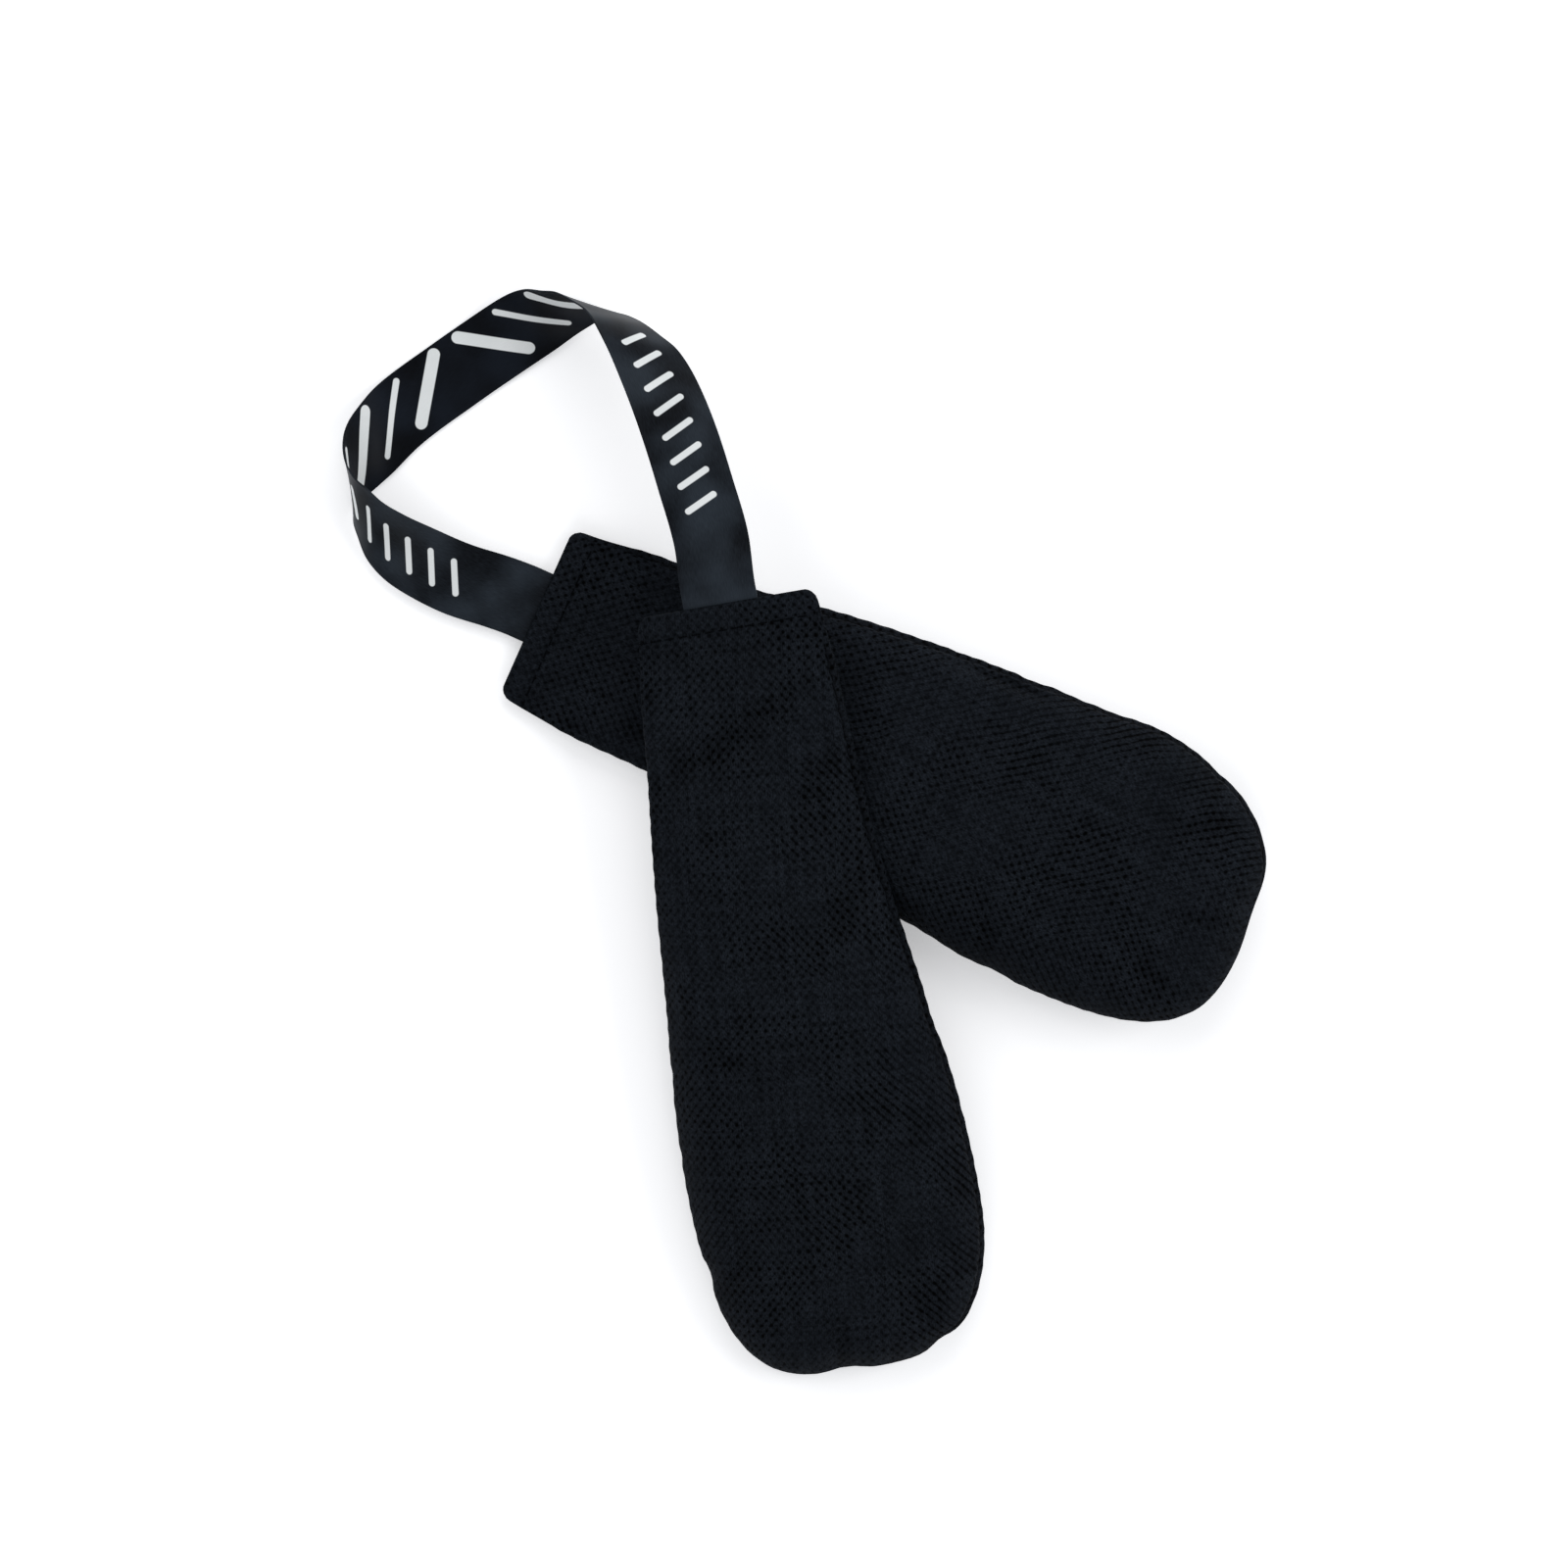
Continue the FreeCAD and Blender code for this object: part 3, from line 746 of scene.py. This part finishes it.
def mouth_slot(rings):
    """Three rings that line the slot between the hems, from its bottom outwards."""
    slot = rings[:3].copy()
    for row, place in enumerate((SLOT_DEPTH, SLOT_DEPTH * 0.4, 0.3)):
        slot[row] = rings[0]
        slot[row, :, 0] = place
        slot[row, :, 1] *= 0.93
        slot[row, :, 2] = np.clip(slot[row, :, 2], -SLOT_HALF, SLOT_HALF)
    return slot


# %% Fine rings of a pouch
def fine_rings(form, moves, creases, puckers, lie):
    """The finished rings in millimetres on the table, each point's distance round its panel, the
    rings' places and how deep in a fold each point lies, for the cloth's painted shade."""
    body = np.arange(1.0, CROWDED_FROM, STEP)
    places = np.concatenate([[0.12, 0.45], body, end_places(26)])
    rings, around = rings_of(places, form, COLUMNS)
    rings = swollen(rings, places, moves)
    flat_down = np.zeros_like(rings)
    flat_down[..., 2] = -np.sign(rings[..., 2])
    rings, fold_shade = sewn_seam(rings, places)
    rings, fold_shade = sunk_lines(rings, flat_down, places, fold_shade, creases)
    for spot in puckers:
        rings = rings + pucker(rings, **spot)

    table = lie.put(np.concatenate([mouth_slot(rings), rings]))
    around = np.concatenate([around[:1]] * 3 + [around])
    fold_shade = np.concatenate([fold_shade[:1]] * 3 + [fold_shade]).clip(0, 1)
    places = np.concatenate([[-SLOT_DEPTH, -SLOT_DEPTH * 0.4, -0.2], places])
    height = table[..., 2] - TABLE_GAP
    table[..., 2] = TABLE_GAP + (height + np.sqrt(height ** 2 + SOFTNESS ** 2)) / 2
    return table, around, places, fold_shade


THREAD_SLANT = math.radians(4)
LOWER_SHIFT = 0.6               # moves the weave on, so that the lower panel's differs


def thread_uv(around, places):
    """The uv of each cell's corners: metres across the panel and along it, slanted a little."""
    rows, columns = around.shape
    half = columns // 2
    ahead = np.roll(around, -1, axis=1)
    step = around[:, 1] - around[:, 0]
    for last in (half - 1, columns - 1):
        ahead[:, last] = around[:, last] + step
    x = np.stack([around[:-1], ahead[:-1], ahead[1:], around[1:]], axis=-1)
    y = np.stack([np.broadcast_to(p, (rows - 1, columns)) for p in
                  (places[:-1, None], places[:-1, None], places[1:, None], places[1:, None])], -1)
    y[:, half:] += LOWER_SHIFT
    turned = np.stack([x * math.cos(THREAD_SLANT) - y * math.sin(THREAD_SLANT),
                       x * math.sin(THREAD_SLANT) + y * math.cos(THREAD_SLANT)], axis=-1)
    return turned * MM


def inset(table, depth):
    """The same rings, sunk below the cloth."""
    ahead = np.gradient(table, axis=0)
    beside = np.roll(table, -1, axis=1) - np.roll(table, 1, axis=1)
    normal = unit(np.cross(ahead, beside), 1e-9)
    middle = table.mean(axis=1, keepdims=True)
    facing = np.sign(((middle - table) * normal).sum(axis=-1, keepdims=True))
    return table + normal * facing * depth


# %% Where each pouch is creased and puckered
# Places are (along, left) in a pouch's own space, in millimetres.
REAR_CREASES = (
    {"start": (108, 33.6), "end": (140, 34.8), "half_width": 1.2, "depth": 1.5},
    {"start": (207, -1), "end": (186, -5), "half_width": 2.0, "depth": 1.5},
    {"start": (30, -20), "end": (64, -6), "half_width": 4.0, "depth": 0.9},
    {"start": (198, 26), "end": (176, 13), "half_width": 2.6, "depth": 1.0},
    {"start": (200, -26), "end": (180, -16), "half_width": 2.6, "depth": 1.1},
    {"start": (150, -36), "end": (142, -22), "half_width": 2.6, "depth": 0.9},
)
FRONT_CREASES = (
    {"start": (26, 17), "end": (46, -29), "half_width": 3.4, "depth": 1.5},
    {"start": (40, 26), "end": (62, 6), "half_width": 3.4, "depth": 0.8},
    {"start": (72, 26), "end": (98, 10), "half_width": 4.0, "depth": 1.0},
    {"start": (186, -36), "end": (172, -24), "half_width": 2.4, "depth": 1.4},
    {"start": (209, -4), "end": (190, -2), "half_width": 2.0, "depth": 1.2},
    {"start": (206, 24), "end": (186, 16), "half_width": 2.4, "depth": 1.3},
    {"start": (110, -31), "end": (132, -8), "half_width": 3.6, "depth": 1.0},
    {"start": (140, 36), "end": (152, 20), "half_width": 3.0, "depth": 0.8},
)
REAR_PUCKERS = ({"place": 208, "left": 6, "width": 8, "depth": 1.3},
                {"place": 152, "left": -38, "width": 5, "depth": 0.7},
                {"place": 128, "left": -37, "width": 5, "depth": 0.6},
                {"place": 186, "left": 37, "width": 4, "depth": 0.7})
FRONT_PUCKERS = ({"place": 178, "left": -37, "width": 4, "depth": 1.3},
                 {"place": 209, "left": -4.5, "width": 5, "depth": 1.4},
                 {"place": 206.5, "left": 22.5, "width": 4, "depth": 1.4},
                 {"place": 118, "left": 35.5, "width": 6, "depth": 0.7})

# %% The two pouches, each with its sachet and its granules
POUCHES = {"rear": (REAR, REAR_FORM, REAR_CREASES, REAR_PUCKERS),
           "front": (FRONT, FRONT_FORM, FRONT_CREASES, FRONT_PUCKERS)}
SACHET_INSET, FILL_INSET = 1.3, 1.9     # millimetres
surfaces = {}
for side, (lie, form, creases, puckers) in POUCHES.items():
    moves = simulated_moves(side, form)
    table, around, places, fold_shade = fine_rings(form, moves, creases, puckers, lie)
    surfaces[side] = (table, places)
    uv = thread_uv(around, places)
    cover = skin(f"{side}_pouch_cover", table * MM, uv, [CLOTH], fold_shade=fold_shade)
    inner = slice(18, -6)       # from past the hem to short of the rounded end
    sachet = skin(f"{side}_sachet", inset(table, SACHET_INSET)[inner] * MM, uv[inner], [FELT])
    fill = skin(f"{side}_granule_fill", inset(table, FILL_INSET)[inner] * MM, uv[inner], [GRAINS])
    body = f"{side}_pouch"
    for piece in (cover, sachet, fill):
        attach(piece, body)
    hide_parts(f"{body}_top_panel", f"{body}_bottom_panel")
    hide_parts(f"{body}_liner")
    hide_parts(f"{body}_granules")
    print(cover.name, len(cover.data.polygons), "faces, lowest", round(table[..., 2].min(), 2))

# %% [markdown]
# ## The ribbon
# One strip runs from the rear mouth to the front mouth. It is drawn through a few places along its
# middle, each with the way its upper edge lies from its lower edge, so that it can lie flat, stand
# up on its lower edge at a turn and lie down again. It is cut into four pieces, each across one
# joint of the frame, and neighbours share their last ring.

# %% Places along the ribbon
# Middle of the ribbon (x, y, height), bearing of its upper edge from its lower edge, and how
# steeply it stands, in millimetres and degrees.
REAR_RUN = (
    (-82.2, 65.1, 3.5, 71.0, 1.5), (-93.2, 68.6, 4.2, 70.5, 6.0), (-102.4, 72.8, 5.5, 70.0, 14.5),
    (-110.1, 77.1, 7.1, 69.5, 27.0), (-115.4, 81.6, 8.7, 71.0, 40.0),
    (-118.4, 86.1, 9.6, 75.0, 50.0), (-120.8, 89.8, 9.8, 84.6, 55.6),
    (-121.6, 93.4, 9.3, 98.0, 53.0), (-120.8, 97.3, 8.1, 111.0, 45.0),
    (-118.7, 101.6, 5.9, 118.0, 30.0), (-114.9, 106.6, 3.0, 120.0, 13.0),
    (-109.5, 112.6, 1.2, 124.0, 3.0), (-94.6, 123.8, 0.6, 126.5, 0.0),
)
# Here the heights are shares of the front mouth's height.
FRONT_RUN = (
    (-83.9, 131.2, 0.035, 127.0, 1.5), (-75.0, 136.9, 0.1, 131.0, 10.0),
    (-68.2, 140.4, 0.215, 141.0, 25.0), (-63.3, 141.5, 0.33, 151.5, 37.0),
    (-59.4, 142.3, 0.415, 161.0, 42.0), (-55.5, 141.1, 0.49, 167.5, 43.5),
    (-52.2, 139.4, 0.528, 170.4, 44.4),
    (-49.3, 136.9, 0.66, 174.0, 42.5), (-46.3, 133.4, 0.74, 178.0, 35.5),
    (-43.0, 129.1, 0.80, 183.5, 26.5), (-39.6, 122.8, 0.855, 188.0, 19.0),
    (-36.2, 115.0, 0.90, 192.0, 14.5), (-32.6, 105.2, 0.93, 193.0, 9.0),
    (-28.9, 93.3, 0.96, 192.0, 5.0), (-24.7, 78.6, 0.985, 191.5, 2.5),
)
TAIL_OFFSET = 1.4               # ribbon's middle to a mouth's middle
TAIL_DEPTH = 4.6                # how far a tail reaches into its mouth


def station(place, lift=1.0):
    """Middle of the ribbon and the direction across it, from its lower to its upper edge."""
    x, y, height, bearing, stand = place
    bearing, stand = math.radians(bearing), math.radians(stand)
    across = (math.cos(bearing) * math.cos(stand), math.sin(bearing) * math.cos(stand),
              math.sin(stand))
    return [x, y, height * lift, *across]


def mouth_stations(lie, side, order):
    """Stations from outside a mouth to inside it, level with the slot between its hems."""
    across = lie.turn @ np.array([0.0, side, 0.0])
    return [[*lie.put((depth, side * TAIL_OFFSET, 0.0)), *across] for depth in order]


MOUTH_DEPTHS = (TAIL_DEPTH, -1.8, -5.0)
stations = np.array(mouth_stations(REAR, 1, MOUTH_DEPTHS)
                    + [station(place) for place in REAR_RUN]
                    + [station(place, FRONT.mouth[2]) for place in FRONT_RUN]
                    + mouth_stations(FRONT, -1, MOUTH_DEPTHS[::-1]))
chord = np.linalg.norm(np.diff(stations[:, :3], axis=0), axis=1)
knots = np.concatenate([[0], np.cumsum(chord)])
RIBBON_STEP = 0.9
steps = int(knots[-1] / RIBBON_STEP)
spots = through(knots, stations, np.linspace(0, knots[-1], steps + 1))
middle, across = spots[:, :3], spots[:, 3:]
across /= np.linalg.norm(across, axis=1, keepdims=True)
ribbon_run = np.concatenate([[0], np.cumsum(np.linalg.norm(np.diff(middle, axis=0), axis=1))])
print("ribbon", round(ribbon_run[-1], 1), "mm from tail to tail")


# %% Ribbon skin
HALF_LANES = np.array([0.12, 0.36, 0.6, 0.8, 0.9, 0.95, 0.975, 0.992, 1.0])
LANES = np.concatenate([-HALF_LANES[::-1], HALF_LANES])     # lower edge to upper edge
FACE_THICK, EDGE_THICK = 0.34, 0.44


def ribbon_rings():
    """Rings round the ribbon, first its face that looks down on the legs, then the other."""
    ahead = np.gradient(middle, axis=0)
    normal = np.cross(ahead, across)
    normal /= np.linalg.norm(normal, axis=1, keepdims=True)
    thick = FACE_THICK + (EDGE_THICK - FACE_THICK) * ease(np.abs(LANES), 0.9, 0.97)
    thick *= np.where(np.abs(LANES) > 0.999, 0.5, 1.0)
    lane = np.concatenate([LANES, LANES[::-1]])
    lift = np.concatenate([thick, -thick[::-1]]) / 2
    rings = (middle[:, None] + across[:, None] * (lane * RIBBON_WIDTH / MM / 2)[None, :, None]
             + normal[:, None] * lift[None, :, None])
    return rings, lane


def ribbon_piece(name, start, end):
    """The stretch of ribbon between two rows, its two faces in their own finishes."""
    rings, lane = ribbon_rings()
    x = (lane + 1) / 2 * RIBBON_WIDTH
    x_ahead = np.roll(x, -1)
    y = ribbon_run[start:end + 1] * MM
    shape = (len(y) - 1, len(lane))
    uv = np.stack([np.stack([np.broadcast_to(a, shape), np.broadcast_to(b[:, None], shape)], -1)
                   for a, b in ((x, y[:-1]), (x_ahead, y[:-1]), (x_ahead, y[1:]), (x, y[1:]))],
                  axis=2)
    slots = np.zeros(shape, int)
    slots[:, len(LANES) - 1:] = 1       # the face with the dashes
    piece = skin(name, rings[start:end + 1] * MM, uv, [SATIN_BARS, SATIN_DASHES], slots)
    return piece, float(y[-1] - y[0])


def row_at(x, y):
    """The row of the ribbon whose middle is nearest to a place on the table."""
    return int(np.argmin(np.hypot(middle[:, 0] - x, middle[:, 1] - y)))


# %% Ribbon pieces
# A piece, its two bodies, and where its bend starts and ends, in metres.
cuts = [0, row_at(-98, 71.8), row_at(-94, 123), row_at(-33, 105), len(middle) - 1]
BENDS = (
    ("ribbon_rear_end", "rear_leg", "rear_pouch",
     REAR.at(-4, 0, 0), REAR.at(0.6, 0, 0)),
    ("ribbon_rear_turn", "rear_leg", "ribbon_loop",
     (-0.116, 0.082, 0.009), (-0.119, 0.099, 0.009)),
    ("ribbon_front_turn", "ribbon_loop", "front_leg",
     (-0.060, 0.142, 0.012), (-0.046, 0.133, 0.012)),
    ("ribbon_front_end", "front_leg", "front_pouch",
     FRONT.at(-4, 0, 0), FRONT.at(0.6, 0, 0)),
)
STANDS_FOR = (("ribbon_rear_leg", "rear_ribbon_tail"), ("ribbon_loop",), ("ribbon_loop",),
              ("ribbon_front_leg", "front_ribbon_tail"))
for number, (name, body, next_body, start, end) in enumerate(BENDS):
    piece, length = ribbon_piece(name, cuts[number], cuts[number + 1])
    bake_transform(piece)
    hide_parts(*STANDS_FOR[number])
    print(name, round(length / MM, 1), "mm")

# %% [markdown]
# ## Stitches
# Sewing is the same short stitch over and over along a line, which is what Geometry Nodes are for.
# The tree takes a line, walks along it in equal steps and lays one small round-ended thread at
# each. It gets its line from the finished cloth, so the stitches sit in the sunken line.


# %% Stitch tree
STITCH_SIZES = ("Pitch", "Length", "Thread")


def stitch_tree():
    """A Geometry Nodes tree that turns a line into a row of stitches."""
    tree = bpy.data.node_groups.new("stitch_row", "GeometryNodeTree")
    face = tree.interface
    face.new_socket("Line", in_out="INPUT", socket_type="NodeSocketGeometry")
    for name in STITCH_SIZES:
        face.new_socket(name, in_out="INPUT", socket_type="NodeSocketFloat")
    face.new_socket("Stitches", in_out="OUTPUT", socket_type="NodeSocketGeometry")

    def add(kind, settings=(), sockets=()):
        node = tree.nodes.new(kind)
        for name, value in dict(settings).items():
            setattr(node, name, value)
        for name, value in dict(sockets).items():
            if isinstance(value, bpy.types.NodeSocket):
                tree.links.new(value, node.inputs[name])
            else:
                node.inputs[name].default_value = value
        return node

    given = add("NodeGroupInput").outputs
    line = add("GeometryNodeMeshToCurve", {}, {"Mesh": given["Line"]})
    walk = add("GeometryNodeResampleCurve", {"mode": "LENGTH"},
               {"Curve": line.outputs[0], "Length": given["Pitch"]})
    tangent = add("GeometryNodeInputTangent")
    facing = add("FunctionNodeAlignRotationToVector", {"axis": "Z"}, {"Vector": tangent.outputs[0]})
    ball = add("GeometryNodeMeshUVSphere", {}, {"Segments": 8, "Rings": 8, "Radius": 0.5})
    scale = add("ShaderNodeCombineXYZ", {}, {0: given["Thread"], 1: given["Thread"],
                                             2: given["Length"]})
    laid = add("GeometryNodeInstanceOnPoints", {}, {
        "Points": walk.outputs[0], "Instance": ball.outputs[0],
        "Rotation": facing.outputs[0], "Scale": scale.outputs[0]})
    real = add("GeometryNodeRealizeInstances", {}, {0: laid.outputs[0]})
    smooth = add("GeometryNodeSetShadeSmooth", {}, {0: real.outputs[0]})
    finished = add("GeometryNodeSetMaterial", {}, {"Geometry": smooth.outputs[0],
                                                   "Material": THREAD})
    add("NodeGroupOutput", {}, {0: finished.outputs[0]})
    return tree


STITCHES = stitch_tree()


def stitch_row(name, lines, sizes):
    """A plain mesh of stitches of the given sizes, along lines of points, in millimetres."""
    mesh = bpy.data.meshes.new(f"{name}_line")
    points, edges = [], []
    for line in lines:
        first = len(points)
        points += [tuple(p) for p in (np.asarray(line) * MM).tolist()]
        edges += [(first + i, first + i + 1) for i in range(len(line) - 1)]
    mesh.from_pydata(points, edges, [])
    holder = bpy.data.objects.new(f"{name}_line", mesh)
    bpy.context.scene.collection.objects.link(holder)
    modifier = holder.modifiers.new("stitches", "NODES")
    modifier.node_group = STITCHES
    for item in STITCHES.interface.items_tree:
        if item.name in STITCH_SIZES:
            modifier[item.identifier] = sizes[STITCH_SIZES.index(item.name)] * MM
    view = bpy.context.evaluated_depsgraph_get()
    sewn = bpy.data.meshes.new_from_object(holder.evaluated_get(view))
    bpy.data.objects.remove(holder)
    piece = bpy.data.objects.new(name, sewn)
    bpy.context.scene.collection.objects.link(piece)
    return piece


# %% Closing stitches and seam stitches
# The stitches' pitch, length and thread, in millimetres.
CLOSING, SEAM = (3.4, 2.6, 0.42), (2.6, 1.9, 0.4)
THREAD_RISE = 0.12              # how far the thread's middle stands off the cloth
SEAM_ROWS = slice(18, -8)
for side, (table, places) in surfaces.items():
    body = f"{side}_pouch"
    row = int(np.argmin(np.abs(places - STITCH_LINE)))
    half = COLUMNS // 2
    lift = POUCHES[side][0].turn[:, 2] * THREAD_RISE
    above = table[row, 5:half - 4] + lift
    below = table[row, half + 5:COLUMNS - 4] - lift
    closing = stitch_row(f"{side}_closing_stitches", [above, below], CLOSING)
    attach(closing, body)
    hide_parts(f"{body}_mouth_stitches")
    seams = [table[SEAM_ROWS, column] for column in (0, half)]
    seam = stitch_row(f"{side}_seam_stitches", seams, SEAM)
    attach(seam, body)
    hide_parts(f"{body}_seam_thread")
    print(closing.name, len(closing.data.polygons), seam.name, len(seam.data.polygons), "faces")

# %% [markdown]
# ## The table top
# A plain pale sheet without texture, wide enough for every view.

# %% Table top
REACH = 6.0                     # metres


def table_top():
    finish = Finish("pale_table")
    spot = finish.add("ShaderNodeTexCoord", {}, {}, 3)
    tone = finish.noise(spot, 3.0, 2.0)
    colour = finish.mix(tone, shade(246, 246, 247), shade(250, 250, 251))
    mesh = bpy.data.meshes.new("table_top")
    mesh.from_pydata([(-REACH, -REACH, 0), (REACH, -REACH, 0), (REACH, REACH, 0),
                      (-REACH, REACH, 0)], [], [(0, 1, 2, 3)])
    mesh.materials.append(finish.done({"Base Color": colour, "Roughness": 0.9,
                                       "Specular IOR Level": 0.1, "Emission Color": colour,
                                       "Emission Strength": 0.4}))
    top = bpy.data.objects.new("table_top", mesh)
    bpy.context.scene.collection.objects.link(top)


table_top()
